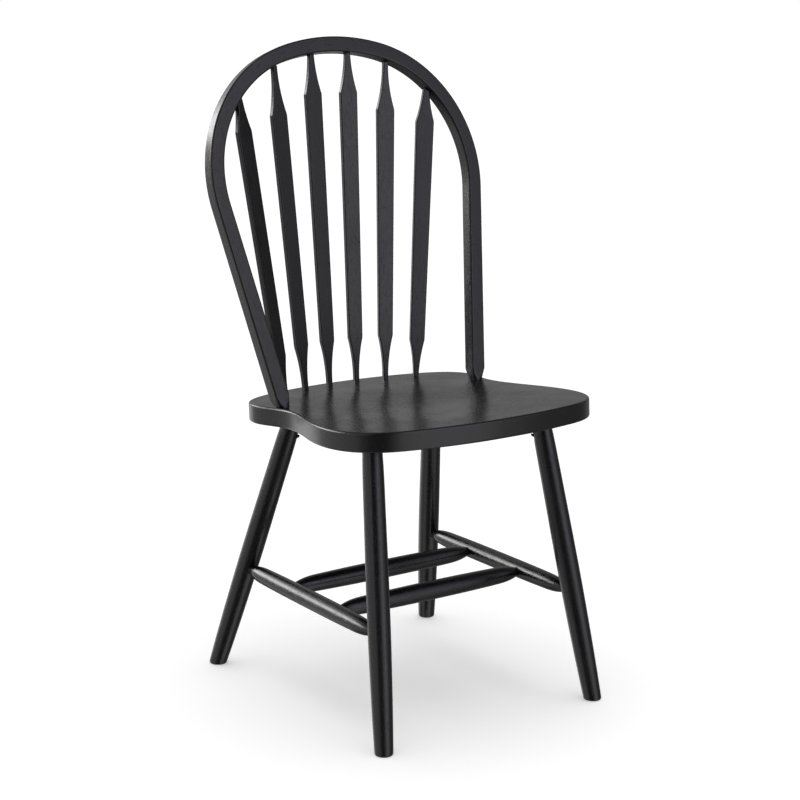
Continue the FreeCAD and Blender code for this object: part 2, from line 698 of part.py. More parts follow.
def build():
    """Every piece of the chair by name. Left is the -X side."""
    pieces = {"seat": seat(), "bow": bow(), "leg_screws": leg_screws()}
    rows = len(SPINDLE_SHOULDERS)
    for row in range(rows):
        slat = spindle(row)
        pieces["spindle_%d" % (rows + 1 + row)] = slat
        pieces["spindle_%d" % (rows - row)] = mirrored(slat)
    for end in ("front", "rear"):
        post = leg(end)
        pieces["leg_%s_right" % end] = post
        pieces["leg_%s_left" % end] = mirrored(post)
    rail = side_stretcher()
    pieces["side_stretcher_right"] = rail
    pieces["side_stretcher_left"] = mirrored(rail)
    pieces["cross_stretcher_front"] = cross_stretcher(FRONT_CROSS_SHARE)
    pieces["cross_stretcher_rear"] = cross_stretcher(REAR_CROSS_SHARE)
    return pieces


os.makedirs("parts", exist_ok=True)
for name, shape in build().items():
    shape.exportStep("parts/%s.step" % name)
    box = shape.BoundBox
    print("%-22s solids %d valid %s volume %.0f x %.1f..%.1f y %.1f..%.1f z %.1f..%.1f" % (
        name, len(shape.Solids), shape.isValid(), shape.Volume, box.XMin, box.XMax,
        box.YMin, box.YMax, box.ZMin, box.ZMax))
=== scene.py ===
# %% [markdown]
# # A windsor side chair in satin black paint
# The chair has a dished plank seat, a bent bow, six arrow-shaped spindles, four turned legs and
# four stretchers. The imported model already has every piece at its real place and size. This
# lesson dresses it: it adds a camera and a plain studio, models the bow and the slats anew with
# eased edges, and puts the paint on each piece.

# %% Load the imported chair
import math
import bmesh
import bpy
from mathutils import Matrix, Vector


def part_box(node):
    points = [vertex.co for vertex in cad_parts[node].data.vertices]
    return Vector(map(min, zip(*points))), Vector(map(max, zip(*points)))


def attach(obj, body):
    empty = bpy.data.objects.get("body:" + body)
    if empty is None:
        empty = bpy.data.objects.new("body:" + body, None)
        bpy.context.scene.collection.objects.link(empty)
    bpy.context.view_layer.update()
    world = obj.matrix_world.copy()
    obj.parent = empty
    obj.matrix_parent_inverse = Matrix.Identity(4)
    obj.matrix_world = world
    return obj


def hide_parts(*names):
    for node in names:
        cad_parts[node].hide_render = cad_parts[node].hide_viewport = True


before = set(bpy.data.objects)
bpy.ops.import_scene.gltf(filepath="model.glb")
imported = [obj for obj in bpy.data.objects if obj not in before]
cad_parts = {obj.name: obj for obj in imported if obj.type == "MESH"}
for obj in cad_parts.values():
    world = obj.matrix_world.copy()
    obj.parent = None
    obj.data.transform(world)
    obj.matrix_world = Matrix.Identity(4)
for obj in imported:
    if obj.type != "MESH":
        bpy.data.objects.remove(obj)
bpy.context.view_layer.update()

# %% [markdown]
# ## The camera
# A chair looks right from about a metre above the floor, through a long lens from about three
# metres away, because a short lens close by would stretch the near leg. The camera turns round
# the middle of the chair, so its place follows from two angles and a distance.

# %% Place the camera
CAMERA_TURN = math.radians(-34.31)
CAMERA_RISE = math.radians(12.83)
CAMERA_DISTANCE = 2.9347
CAMERA_AIM = Vector((0.0, -0.0026, 0.4398))
CAMERA_LENS = 89.14
CAMERA_SENSOR = 36
CAMERA_SHIFT = -0.007


def out_from_middle(turn, rise):
    """Direction from the middle of the chair towards a viewer at this turn and rise."""
    level = math.cos(rise)
    return Vector((math.sin(turn) * level, -math.cos(turn) * level, math.sin(rise)))


bpy.ops.object.camera_add(
    location=CAMERA_AIM + out_from_middle(CAMERA_TURN, CAMERA_RISE) * CAMERA_DISTANCE,
    rotation=(math.pi / 2 - CAMERA_RISE, 0, CAMERA_TURN))
camera = bpy.context.object
camera.data.lens = CAMERA_LENS
camera.data.sensor_width = CAMERA_SENSOR
camera.data.shift_x = CAMERA_SHIFT
bpy.context.scene.camera = camera
print("camera at", [round(v, 3) for v in camera.location])

# %% [markdown]
# ## Nodes without repetition
# Every finish below is a small network of shader nodes. Such a network can be drawn with the
# mouse, but these come back for every piece, so a few helpers build them. The first adds a node
# and fills in its inputs, where a value is either a number or the socket of an earlier node to
# link from.

# %% Helpers for shader networks


def add_node(tree, kind, settings=None, **inputs):
    """Adds a node, sets its own properties, and fills or links its inputs by name."""
    node = tree.nodes.new(kind)
    for name, value in (settings or {}).items():
        setattr(node, name, value)
    for name, value in inputs.items():
        socket = socket_named(node, name)
        if isinstance(value, bpy.types.NodeSocket):
            tree.links.new(value, socket)
        else:
            socket.default_value = value
    return node


def socket_named(node, name):
    """An input by its name with underscores for spaces, or by its number, as in_0 or in_1."""
    if name.startswith("in_"):
        return node.inputs[int(name[3:])]
    return node.inputs[name.replace("_", " ")]


def math_node(tree, operation, first, second=0.0):
    """The output of one arithmetic node."""
    return add_node(tree, "ShaderNodeMath", {"operation": operation},
                    in_0=first, in_1=second).outputs[0]


def fade(tree, value, start, end, first=0.0, last=1.0):
    """Goes from one level to another while a value goes from start to end."""
    return add_node(tree, "ShaderNodeMapRange", Value=value, From_Min=start, From_Max=end,
                    To_Min=first, To_Max=last).outputs[0]


def mixed(tree, factor, first, second):
    """A colour between two others, each of them a plain colour or a socket."""
    return add_node(tree, "ShaderNodeMix", {"data_type": "RGBA"}, Factor=factor,
                    in_6=first, in_7=second).outputs[2]


# %% [markdown]
# ## The room that the paint mirrors
# Black paint shows little light of its own: its shape is read from what it mirrors. In this
# studio that is a cool soft box to the right of the camera, a pale wall on the left and white
# paper behind. The room behind the camera is dark, which leaves a dark band down the front of
# each leg. Real lamps and flats could stand round the chair, but a room painted on the sky alone
# is quicker to tune. It starts as two rings of brightness by compass direction, one from the
# horizon up and one below it.

# %% Brightness by compass direction, in degrees from the chair's front
UPPER_RING = [
    (-180, 0.90), (-172, 0.85), (-163, 0.55), (-157, 0.55), (-150, 1.00), (-143, 1.05),
    (-134, 0.80), (-80, 0.75), (-66, 1.05), (-57, 0.07), (-20, 0.07), (-10, 0.35), (0, 1.10),
    (10, 1.55), (28, 1.65), (35, 0.75), (42, 0.50), (50, 0.62), (56, 0.50), (62, 0.08),
    (84, 0.16), (110, 0.22), (135, 0.35), (162, 0.42), (172, 0.85), (180, 0.90),
]
LOWER_RING = [
    (-180, 1.27), (-172, 1.25), (-163, 1.00), (-155, 0.60), (-134, 0.72), (-84, 0.75),
    (-74, 0.35), (-66, 0.08), (-25, 0.08), (-15, 0.40), (-5, 0.85), (3, 1.00), (12, 1.12),
    (30, 1.22), (36, 0.60), (42, 0.38), (50, 0.26), (62, 0.20), (72, 0.16), (84, 0.14),
    (105, 0.24), (135, 0.35), (165, 0.60), (180, 1.27),
]
SOFT_BOX_TINT = (0.98, 0.93, 1.09)
SOFT_BOX_SIDES = (-15, 58)


def ring(tree, share, levels, tint=(1, 1, 1)):
    """Colour of the room all the way round, where a share of 0 to 1 is one whole turn."""
    ramp = add_node(tree, "ShaderNodeValToRGB", Fac=share)
    stops = ramp.color_ramp.elements
    stops.remove(stops[1])
    spare = stops[0]
    for degrees, level in levels:
        cool = SOFT_BOX_SIDES[0] < degrees < SOFT_BOX_SIDES[1]
        shade = [level * (part if cool else 1) for part in tint]
        stops.new((degrees + 180) / 360).color = (*shade, 1)
    stops.remove(spare)
    return ramp.outputs["Color"]


print("room:", len(UPPER_RING), "levels above the horizon and", len(LOWER_RING), "below it")

# %% [markdown]
# ## A strip lamp behind the left side
# A tall strip lamp high behind the left side draws the bright rims of the bow and the slats. Here
# it is a bright patch with soft edges on the same sky, between two compass directions and two
# heights. A lamp object could stand there too, but it would also light the paper.

# %% The strip lamp
STRIP_SIDES = (-178, -118)
STRIP_SOFTNESS = 8
STRIP_FOOT = (0.14, 0.20)
STRIP_HEAD = (0.55, 0.40)
STRIP_LEVEL = 8.0


def strip_lamp(tree, turn, rise):
    """Brightness of the strip in a direction given by its turn and its rise."""
    near, far = (math.radians(side) for side in STRIP_SIDES)
    soft = math.radians(STRIP_SOFTNESS)
    level = fade(tree, turn, near, near + soft)
    for value, start, end in ((turn, far, far - soft), (rise, *STRIP_FOOT), (rise, *STRIP_HEAD)):
        level = math_node(tree, "MULTIPLY", level, fade(tree, value, start, end))
    return math_node(tree, "MULTIPLY", level, STRIP_LEVEL)


# %% [markdown]
# ## The whole room as one network
# The two rings blend just below the horizon. Two softer changes go over them: the ceiling is
# dimmer than the walls, and the paper just behind the chair lies in its shade. The strip lamp is
# added on top.

# %% The painted room
HORIZON = (-0.10, -0.02)
CEILING_RISE = (0.50, 0.85)
CEILING_LEVEL = 0.45
SHADE_DROP = (-0.50, -0.62)
SHADE_LEVEL = 0.20
SHADE_BACK = (0.35, 0.50)


def mirrored_room(tree, direction):
    """Light of the room in a direction, whose turn is measured like the camera's."""
    parts = add_node(tree, "ShaderNodeSeparateXYZ", Vector=direction)
    rise = parts.outputs["Z"]
    forward = math_node(tree, "MULTIPLY", parts.outputs["Y"], -1.0)
    turn = math_node(tree, "ARCTAN2", parts.outputs["X"], forward)
    share = math_node(tree, "ADD", math_node(tree, "DIVIDE", turn, 2 * math.pi), 0.5)
    walls = mixed(tree, fade(tree, rise, *HORIZON), ring(tree, share, LOWER_RING),
                  ring(tree, share, UPPER_RING, SOFT_BOX_TINT))
    shade = math_node(tree, "MAXIMUM", fade(tree, rise, *SHADE_DROP, 1.0, SHADE_LEVEL),
                      fade(tree, parts.outputs["Y"], *SHADE_BACK, 1.0, 0.0))
    level = math_node(tree, "MULTIPLY", fade(tree, rise, *CEILING_RISE, 1.0, CEILING_LEVEL), shade)
    plain = add_node(tree, "ShaderNodeBackground", Color=walls, Strength=level)
    bright = add_node(tree, "ShaderNodeBackground", Color=(1, 1, 1, 1),
                      Strength=strip_lamp(tree, turn, rise))
    return add_node(tree, "ShaderNodeAddShader", in_0=plain.outputs[0],
                    in_1=bright.outputs[0]).outputs[0]


# %% [markdown]
# ## The white paper
# The chair stands on white paper that runs out of sight. What the camera sees of the paper is
# white, apart from the soft shadow under the chair. More light would whiten it too, but it would
# also lift the black of the chair, so the paper shines a little for camera rays, which adds no
# light to the chair itself. Mirror rays pass through it to the painted room.

# %% White paper floor
PAPER_SIZE = 40
PAPER_GREY = 0.80
PAPER_GLOW = 0.36


def new_finish(name):
    """A material with an empty network, and that network."""
    material = bpy.data.materials.new(name)
    material.use_nodes = True
    material.node_tree.nodes.clear()
    return material, material.node_tree


def ray_kinds(tree):
    """Two switches: the camera sees this point, and a mirroring surface sees it."""
    path = add_node(tree, "ShaderNodeLightPath").outputs
    seen = math_node(tree, "MAXIMUM", path["Is Camera Ray"], path["Is Transmission Ray"])
    return seen, path["Is Glossy Ray"]


bpy.ops.object.select_all(action="DESELECT")
bpy.ops.mesh.primitive_plane_add(size=PAPER_SIZE)
floor = bpy.context.object
floor.name = "floor"

paper, tree = new_finish("white_paper")
seen, glossy = ray_kinds(tree)
lit = add_node(tree, "ShaderNodeBsdfDiffuse", Color=(PAPER_GREY, PAPER_GREY, PAPER_GREY, 1))
glow = add_node(tree, "ShaderNodeEmission", Strength=math_node(tree, "MULTIPLY", seen, PAPER_GLOW))
white = add_node(tree, "ShaderNodeAddShader", in_0=lit.outputs[0], in_1=glow.outputs[0])
through = add_node(tree, "ShaderNodeBsdfTransparent")
choice = add_node(tree, "ShaderNodeMixShader", Fac=glossy,
                  in_1=white.outputs[0], in_2=through.outputs[0])
add_node(tree, "ShaderNodeOutputMaterial", Surface=choice.outputs[0])
floor.data.materials.append(paper)
print("paper:", PAPER_SIZE, "m square, of", len(tree.nodes), "nodes")

# %% [markdown]
# ## The white room
# Above the paper the camera sees plain white, and the chair gets an even light from all round, as
# in a tent of white cloth. Mirror rays alone get the painted room, so the reflections can be
# drawn without changing that light.

# %% White room
ROOM_LIGHT = 0.62
world = bpy.data.worlds.new("white_room")
bpy.context.scene.world = world
world.use_nodes = True
tree = world.node_tree
tree.nodes.clear()
seen, glossy = ray_kinds(tree)
plain = add_node(tree, "ShaderNodeBackground", Color=(1, 1, 1, 1),
                 Strength=math_node(tree, "MAXIMUM", seen, ROOM_LIGHT))
direction = add_node(tree, "ShaderNodeTexCoord").outputs["Generated"]
choice = add_node(tree, "ShaderNodeMixShader", Fac=glossy,
                  in_1=plain.outputs[0], in_2=mirrored_room(tree, direction))
add_node(tree, "ShaderNodeOutputWorld", Surface=choice.outputs[0])
bpy.context.scene.view_settings.view_transform = "Standard"
print("room:", len(tree.nodes), "nodes")

# %% [markdown]
# ## The lamp
# One very wide lamp overhead gives the soft shadow that gathers under the seat. A sun lamp with a
# wide disc lights the paper evenly right to the horizon, where an area lamp would fade. The paint
# doesn't mirror this lamp, because the painted room has the lamps that show.

# %% Overhead lamp
LAMP_LEVEL = 0.95
LAMP_WIDTH = 55
bpy.ops.object.light_add(type="SUN", location=(0, 0, 3))
lamp = bpy.context.object
lamp.name = "lamp_overhead"
lamp.data.energy = LAMP_LEVEL
lamp.data.angle = math.radians(LAMP_WIDTH)
lamp.visible_glossy = False
print("lamp:", LAMP_WIDTH, "degrees wide")

# %% [markdown]
# ## Marks of the wood under the paint
# Sprayed paint over open-pored wood is near black, but it isn't flat. The pores of the wood
# still show as short fine dents along the grain, and the wood's growth lines leave faint ridges.
# A picture of wood could be wrapped round each piece, but it would repeat and show seams. Noise
# that is stretched along the grain does neither.

# %% Pores and growth lines
PORE_LIMITS = (0.60, 0.72)


def grain_noise(tree, grain, squeeze, **noise):
    """Noise in patches along the grain: the smaller the squeeze, the longer the patches."""
    space = add_node(tree, "ShaderNodeMapping", Vector=grain, Scale=(1.0, 1.0, squeeze))
    return add_node(tree, "ShaderNodeTexNoise", Vector=space.outputs[0], **noise).outputs["Fac"]


def wood_marks(tree, grain):
    """Pores that are short and fine, and growth lines that are broad and very long."""
    pore = grain_noise(tree, grain, 0.05, Scale=1500.0, Detail=2.0, Roughness=0.55)
    lines = grain_noise(tree, grain, 0.04, Scale=160.0, Detail=4.0, Roughness=0.6, Distortion=0.3)
    return fade(tree, pore, *PORE_LIMITS), lines


# %% [markdown]
# ## Satin black paint
# The spray dries with a slight ripple, even in every direction, and its sheen is a little cloudy.
# Colour, sheen and relief could each have a pattern of their own, but here they share the pores,
# which are darker, duller and deeper than the skin between them, and so they belong together.

# %% The paint as a shader
COOL_BLACK = (0.0042, 0.0042, 0.0046, 1)
WARM_BLACK = (0.0070, 0.0069, 0.0069, 1)
LINE_BLACK = (0.0032, 0.0032, 0.0033, 1)
PORE_BLACK = (0.0022, 0.0022, 0.0023, 1)
LINE_SHARE = 0.5
PORE_SHARE = 0.6
CLOUD_LIMITS = (0.3, 0.7)
SATIN = (0.21, 0.30)
PORE_DULLNESS = 0.25
RIPPLE_DEPTH = 0.10


def black_paint(name, grain_turn=(0, 0, 0), bent=False, pores=0.5, ridges=0.35):
    """Satin black paint over wood, whose grain runs along the turned Z axis."""
    material, tree = new_finish(name)
    if bent:
        place = add_node(tree, "ShaderNodeAttribute", {"attribute_name": "grain"}).outputs["Vector"]
    else:
        place = add_node(tree, "ShaderNodeTexCoord").outputs["Object"]
    grain = add_node(tree, "ShaderNodeMapping", Vector=place, Rotation=grain_turn).outputs[0]
    pore, lines = wood_marks(tree, grain)
    ripple = add_node(tree, "ShaderNodeTexNoise", Vector=place, Scale=420.0,
                      Detail=2.0).outputs["Fac"]
    cloud = add_node(tree, "ShaderNodeTexNoise", Vector=place, Scale=14.0,
                     Detail=3.0).outputs["Fac"]

    colour = mixed(tree, cloud, COOL_BLACK, WARM_BLACK)
    colour = mixed(tree, math_node(tree, "MULTIPLY", lines, LINE_SHARE), colour, LINE_BLACK)
    colour = mixed(tree, math_node(tree, "MULTIPLY", pore, PORE_SHARE), colour, PORE_BLACK)
    rough = math_node(tree, "ADD", fade(tree, cloud, *CLOUD_LIMITS, *SATIN),
                      math_node(tree, "MULTIPLY", pore, PORE_DULLNESS))

    height = math_node(tree, "MULTIPLY", lines, ridges)
    height = math_node(tree, "ADD", height, math_node(tree, "MULTIPLY", ripple, RIPPLE_DEPTH))
    height = math_node(tree, "SUBTRACT", height, math_node(tree, "MULTIPLY", pore, pores))
    bump = add_node(tree, "ShaderNodeBump", Height=height, Strength=0.35, Distance=0.0004)
    shader = add_node(tree, "ShaderNodeBsdfPrincipled", Base_Color=colour, Roughness=rough,
                      Normal=bump.outputs[0])
    add_node(tree, "ShaderNodeOutputMaterial", Surface=shader.outputs[0])
    return material


def wear(piece, finish):
    """Gives a piece one finish in place of any other."""
    piece.data.materials.clear()
    piece.data.materials.append(finish)


# %% [markdown]
# ## Working on a mesh by hand
# The bow and the slats are modelled the way one does it at the screen: a flat shape is added,
# pushed out ring by ring, and finished with bevels and modifiers. Five small helpers keep those
# steps short. Each piece is drawn upright at the origin and carried to its place at the end.

# %% Helpers for modelling
MERGE_DISTANCE = 0.000005
SHARP_ANGLE = 30


def open_new(name):
    """Names the primitive that was just added and opens it for editing."""
    piece = bpy.context.object
    piece.name = name
    bpy.ops.object.mode_set(mode="EDIT")
    return piece


def push(step, scale, center):
    """Extrudes what is selected by a step and scales the new end about a point."""
    bpy.ops.mesh.extrude_region_move(TRANSFORM_OT_translate={"value": step})
    bpy.ops.transform.resize(value=scale, center_override=center)


def carry(piece, place, across, up):
    """Moves an upright piece so that its X axis runs across and its Z axis runs up."""
    turn = Matrix([across, up.cross(across), up]).transposed().to_4x4()
    piece.matrix_world = Matrix.Translation(place) @ turn
    bpy.ops.object.transform_apply(location=True, rotation=True, scale=True)


def close_up(piece):
    """Merges doubles, turns the faces outwards and smooths all but the sharp edges."""
    bpy.ops.object.mode_set(mode="EDIT")
    bpy.ops.mesh.select_all(action="SELECT")
    bpy.ops.mesh.remove_doubles(threshold=MERGE_DISTANCE)
    bpy.ops.mesh.normals_make_consistent(inside=False)
    bpy.ops.object.mode_set(mode="OBJECT")
    bpy.ops.object.shade_smooth_by_angle(angle=math.radians(SHARP_ANGLE))
    flats = piece.modifiers.new("flat_faces", "WEIGHTED_NORMAL")
    flats.keep_sharp = True
    flats.weight = 100
    bpy.ops.object.modifier_apply(modifier=flats.name)


def hand_in(piece, node):
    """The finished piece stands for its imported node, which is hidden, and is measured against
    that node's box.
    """
    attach(piece, "root")
    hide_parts(node)
    low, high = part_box(node)
    corners = [Vector(corner) for corner in piece.bound_box]
    out = max(max(low[i] - min(c[i] for c in corners), max(c[i] for c in corners) - high[i])
              for i in range(3))
    print(piece.name, len(piece.data.polygons), "faces, outside its node's box by",
          round(out * 1000, 2), "mm")


# %% [markdown]
# ## The bow
# The real bow is one straight stick, steamed and bent round a form. Its middle line is a flat
# arc over the top, a tighter arc on each side, and two straight arms that lean inwards to the
# seat. A curve object with a bevel could follow that line, but extruding a section and spinning
# it round each arc's centre is nearer to how the bend is laid out, and it keeps clean rings.

# %% Measures of the bow, in metres and degrees
BOW_MIDDLE = Vector((0, 0.060864, 0.440306))
BOW_LEAN = 15.75
ARM_FOOT = 0.1743
ARM_SPLAY = 9.44
TOP_RADIUS = 0.310
TOP_ANGLE = 16.1
BOW_HEIGHT = 0.5295
SIDE_RADIUS = 0.194551
STICK_FOOT_WIDTH = 0.024
STICK_WIDTH = 0.023
STICK_THICKNESS = 0.022
STICK_EDGE = 0.003
TENON_DEPTH = 0.019

top_centre = Vector((0, 0, BOW_HEIGHT - TOP_RADIUS))
top_turn = math.radians(TOP_ANGLE)
side_turn = math.radians(90 + ARM_SPLAY - TOP_ANGLE)
splay = math.radians(ARM_SPLAY)
side_centre = top_centre + (TOP_RADIUS - SIDE_RADIUS) * Vector((math.sin(top_turn), 0,
                                                               math.cos(top_turn)))
arm_end = side_centre + SIDE_RADIUS * Vector((math.cos(splay), 0, -math.sin(splay)))
arm_up = Vector((math.sin(splay), 0, math.cos(splay)))
arm_foot = Vector((ARM_FOOT, 0, 0))
print("the arm is", round((arm_end - arm_foot).length * 1000, 1), "mm long above the seat")

# %% [markdown]
# The section is a plane with its corners rounded off. It starts at the end of the right tenon,
# below the seat, and is pushed up the arm while it narrows a little.

# %% Section and right arm
bpy.ops.object.select_all(action="DESELECT")
bpy.ops.mesh.primitive_plane_add(size=1, location=arm_foot - arm_up * TENON_DEPTH,
                                 rotation=(0, splay, 0))
bow = bpy.context.object
bow.scale = (STICK_FOOT_WIDTH, STICK_THICKNESS, 1)
bpy.ops.object.transform_apply(location=True, rotation=True, scale=True)
open_new("bow_stick")
bpy.ops.mesh.select_all(action="SELECT")
bpy.ops.mesh.bevel(offset=STICK_EDGE, segments=5, affect="VERTICES", offset_type="OFFSET")
bpy.ops.mesh.select_all(action="SELECT")
bpy.ops.mesh.delete(type="ONLY_FACE")
bpy.ops.mesh.select_all(action="SELECT")
narrowing = STICK_WIDTH / STICK_FOOT_WIDTH
push(arm_end - arm_foot + arm_up * TENON_DEPTH, (narrowing, 1, narrowing), arm_end)
print("up the arm the stick narrows to", round(narrowing, 3), "of its width")

# %% [markdown]
# Each bend is a spin of the last ring round that arc's centre. The left half mirrors the right,
# so the same angles come back in the other order, and the left arm widens again to its foot.

# %% Bends and left arm
SIDE_STEPS = 36
TOP_STEPS = 16


def flipped(point):
    """The same point on the other half of the bow."""
    return Vector((-point.x, point.y, point.z))


bends = [(side_centre, side_turn, SIDE_STEPS), (top_centre, 2 * top_turn, TOP_STEPS),
         (flipped(side_centre), side_turn, SIDE_STEPS)]
for centre, turn, steps in bends:
    bpy.ops.mesh.spin(steps=steps, angle=turn, center=centre, axis=(0, 1, 0))
left_foot = flipped(arm_foot) - flipped(arm_up) * TENON_DEPTH
push(left_foot - flipped(arm_end), (1 / narrowing, 1, 1 / narrowing), left_foot)
bpy.ops.mesh.select_all(action="SELECT")
bpy.ops.mesh.remove_doubles(threshold=MERGE_DISTANCE)
bpy.ops.mesh.select_all(action="DESELECT")
bpy.ops.mesh.select_non_manifold()
bpy.ops.mesh.edge_face_add()
bpy.ops.object.mode_set(mode="OBJECT")
print("stick:", len(bow.data.vertices), "points, left foot ends at",
      [round(v * 1000, 1) for v in min((v.co for v in bow.data.vertices), key=lambda c: c.z)])

# %% [markdown]
# ## Sharpened feet
# Each foot is sharpened like a pencil where it enters the seat, so the flat faces end in curved
# arches. A sleeve with that cone bored through it, cut away from the stick, gives those arches
# just as the real tool does. Below the cone the foot goes on as a round tenon into the seat.

# %% Cut both feet to a cone
CONE_LENGTH = 0.020
CONE_TOP = 0.016
CONE_FOOT = 0.0105
FOOT_BOTTOM = -0.005
TENON_RADIUS = 0.0095
SLEEVE_OUTSIDE = 0.030
SLEEVE_BOTTOM = -0.025
SLEEVE_RINGS = [
    (TENON_RADIUS, FOOT_BOTTOM), (CONE_FOOT, FOOT_BOTTOM), (CONE_FOOT, 0.0),
    (CONE_TOP, CONE_LENGTH), (SLEEVE_OUTSIDE, CONE_LENGTH), (SLEEVE_OUTSIDE, SLEEVE_BOTTOM),
]
for side in (1, -1):
    bpy.ops.object.select_all(action="DESELECT")
    bpy.ops.mesh.primitive_circle_add(vertices=64, radius=TENON_RADIUS)
    sleeve = open_new("sleeve")
    radius, height = TENON_RADIUS, SLEEVE_BOTTOM
    bpy.ops.transform.translate(value=(0, 0, SLEEVE_BOTTOM))
    for next_radius, next_height in SLEEVE_RINGS:
        bigger = next_radius / radius
        push((0, 0, next_height - height), (bigger, bigger, 1), (0, 0, next_height))
        radius, height = next_radius, next_height
    bpy.ops.mesh.select_all(action="DESELECT")
    bpy.ops.mesh.select_non_manifold()
    bpy.ops.mesh.bridge_edge_loops()
    close_up(sleeve)
    up = Vector((side * arm_up.x, 0, arm_up.z))
    carry(sleeve, Vector((side * ARM_FOOT, 0, 0)), Vector((up.z, 0, -up.x)), up)
    bpy.context.view_layer.objects.active = bow
    cut = bow.modifiers.new("sharpen", "BOOLEAN")
    cut.operation = "DIFFERENCE"
    cut.solver = "EXACT"
    cut.object = sleeve
    bpy.ops.object.modifier_apply(modifier=cut.name)
    bpy.data.objects.remove(sleeve)
print("sharpened bow:", len(bow.data.polygons), "faces")

# %% [markdown]
# ## Grain that follows the bend
# A bent stick keeps its grain running round the bend, where a pattern in straight coordinates
# would cut across it. So each point of the bow stores where it sat on the straight stick: how
# far out from the middle line, how deep, and how far along. The paint reads that attribute.

# %% Store the place on the straight stick


def straight_place(point):
    """Where a point of the bow was before the stick was bent."""
    side = -1 if point.x < 0 else 1
    right = Vector((abs(point.x), 0, point.z))
    from_top = right - top_centre
    angle = math.atan2(from_top.x, from_top.z)
    if from_top.z > 0 and angle <= top_turn:
        return Vector((from_top.length - TOP_RADIUS, point.y, side * TOP_RADIUS * angle))
    from_side = right - side_centre
    angle = math.atan2(from_side.x, from_side.z) - top_turn
    done = TOP_RADIUS * top_turn
    if 0 <= angle <= side_turn:
        return Vector((from_side.length - SIDE_RADIUS, point.y,
                       side * (done + SIDE_RADIUS * angle)))
    down = (arm_end - right).dot(arm_up)
    out = (right - arm_end).dot(Vector((arm_up.z, 0, -arm_up.x)))
    return Vector((out, point.y, side * (done + SIDE_RADIUS * side_turn + down)))


grain = bow.data.attributes.new("grain", "FLOAT_VECTOR", "POINT")
for vertex, value in zip(bow.data.vertices, grain.data):
    value.vector = straight_place(vertex.co)
lengths = [value.vector.z for value in grain.data]
print("the straight stick was", round(max(lengths) - min(lengths), 3), "m long")

# %% [markdown]
# ## The bow on the seat
# A bow leans back out of the seat. It was drawn upright, because every spin is then square to the
# axes, and now it is leaned back and stood over the middle of its feet.

# %% Lean the bow back on the seat
lean = math.radians(BOW_LEAN)
bpy.ops.object.select_all(action="DESELECT")
bow.select_set(True)
carry(bow, BOW_MIDDLE, Vector((1, 0, 0)), Vector((0, math.sin(lean), math.cos(lean))))
close_up(bow)
hand_in(bow, "bow")
wear(bow, black_paint("paint_bow", bent=True))

# %% [markdown]
# ## The arrow slats
# The six spindles are flat slats. Each has a narrow neck at the seat, swells in a hollow curve to
# a shoulder, widens slowly up the blade to a second shoulder, and narrows again to a neck at the
# bow. A sawn outline could be drawn flat and given its thickness, but pushing a small section up
# the slat and widening it at each station gives even faces and long clean edges to ease.

# %% Measures of the slats, in metres and degrees
SLAT_THICKNESS = 0.0083
NECK_HALF = 0.004
LOWER_HALF = 0.01185
UPPER_HALF = 0.0145
LOWER_FLARE = 0.062
UPPER_FLARE = 0.068
SLATS = [
    {"foot": (0.024678, 0.170020, 0.434088), "head": (0.0326, 0.204125, 0.948271),
     "reach": 0.503416, "lower": 0.069, "upper": 0.445, "facing": 3.366},
    {"foot": (0.073299, 0.161548, 0.434571), "head": (0.0999, 0.200043, 0.933799),
     "reach": 0.488932, "lower": 0.068, "upper": 0.417, "facing": 10.098},
    {"foot": (0.119737, 0.144856, 0.435522), "head": (0.1686, 0.188160, 0.891665),
     "reach": 0.445369, "lower": 0.057, "upper": 0.398, "facing": 16.830},
]


def hollow(distance, run, rise):
    """Widening at a distance along an arc that starts straight and has risen at its end."""
    radius = (run ** 2 + rise ** 2) / (2 * rise)
    return radius - math.sqrt(radius ** 2 - distance ** 2)


def half_width(height, slat):
    """Half the width of a slat at a height above its foot."""
    low_neck = slat["lower"] - LOWER_FLARE
    high_neck = slat["upper"] + UPPER_FLARE
    if height <= low_neck or height >= high_neck:
        return NECK_HALF
    if height < slat["lower"]:
        return NECK_HALF + hollow(height - low_neck, LOWER_FLARE, LOWER_HALF - NECK_HALF)
    if height > slat["upper"]:
        return NECK_HALF + hollow(high_neck - height, UPPER_FLARE, UPPER_HALF - NECK_HALF)
    share = (height - slat["lower"]) / (slat["upper"] - slat["lower"])
    return LOWER_HALF + (UPPER_HALF - LOWER_HALF) * share


print("blade:", round(2000 * LOWER_HALF, 1), "to", round(2000 * UPPER_HALF, 1), "mm wide")

# %% [markdown]
# A spokeshave takes the sharpness off the four long edges of a real slat, and a bevel does it
# here. Those edges are told from the rings across the slat by how far they climb.

# %% Ease the long edges
SLAT_EASE = 0.0015
LEAST_CLIMB = 0.0005


def ease_long_edges(piece):
    """Rounds the four edges that run up the slat."""
    mesh = bmesh.from_edit_mesh(piece.data)
    for edge in mesh.edges:
        low, high = sorted(corner.co.z for corner in edge.verts)
        edge.select = high - low > LEAST_CLIMB
    mesh.select_flush_mode()
    bmesh.update_edit_mesh(piece.data)
    bpy.ops.mesh.bevel(offset=SLAT_EASE, segments=5, affect="EDGES")


# %% [markdown]
# The stations are the heights at which the width is set: close together along the hollow curves
# and only at the ends of the straight blade. The section starts and ends just inside the seat and
# the bow, so that no gap shows at a slanted joint. A round peg stands in each end and is joined to
# the slat by a union, so that the slat is one closed skin.

# %% One slat from its stations
FLARE_STEPS = 10
BEDDING = 0.0015
PEG_RADIUS = 0.0037
FOOT_PEG = 0.017
HEAD_PEG = 0.014


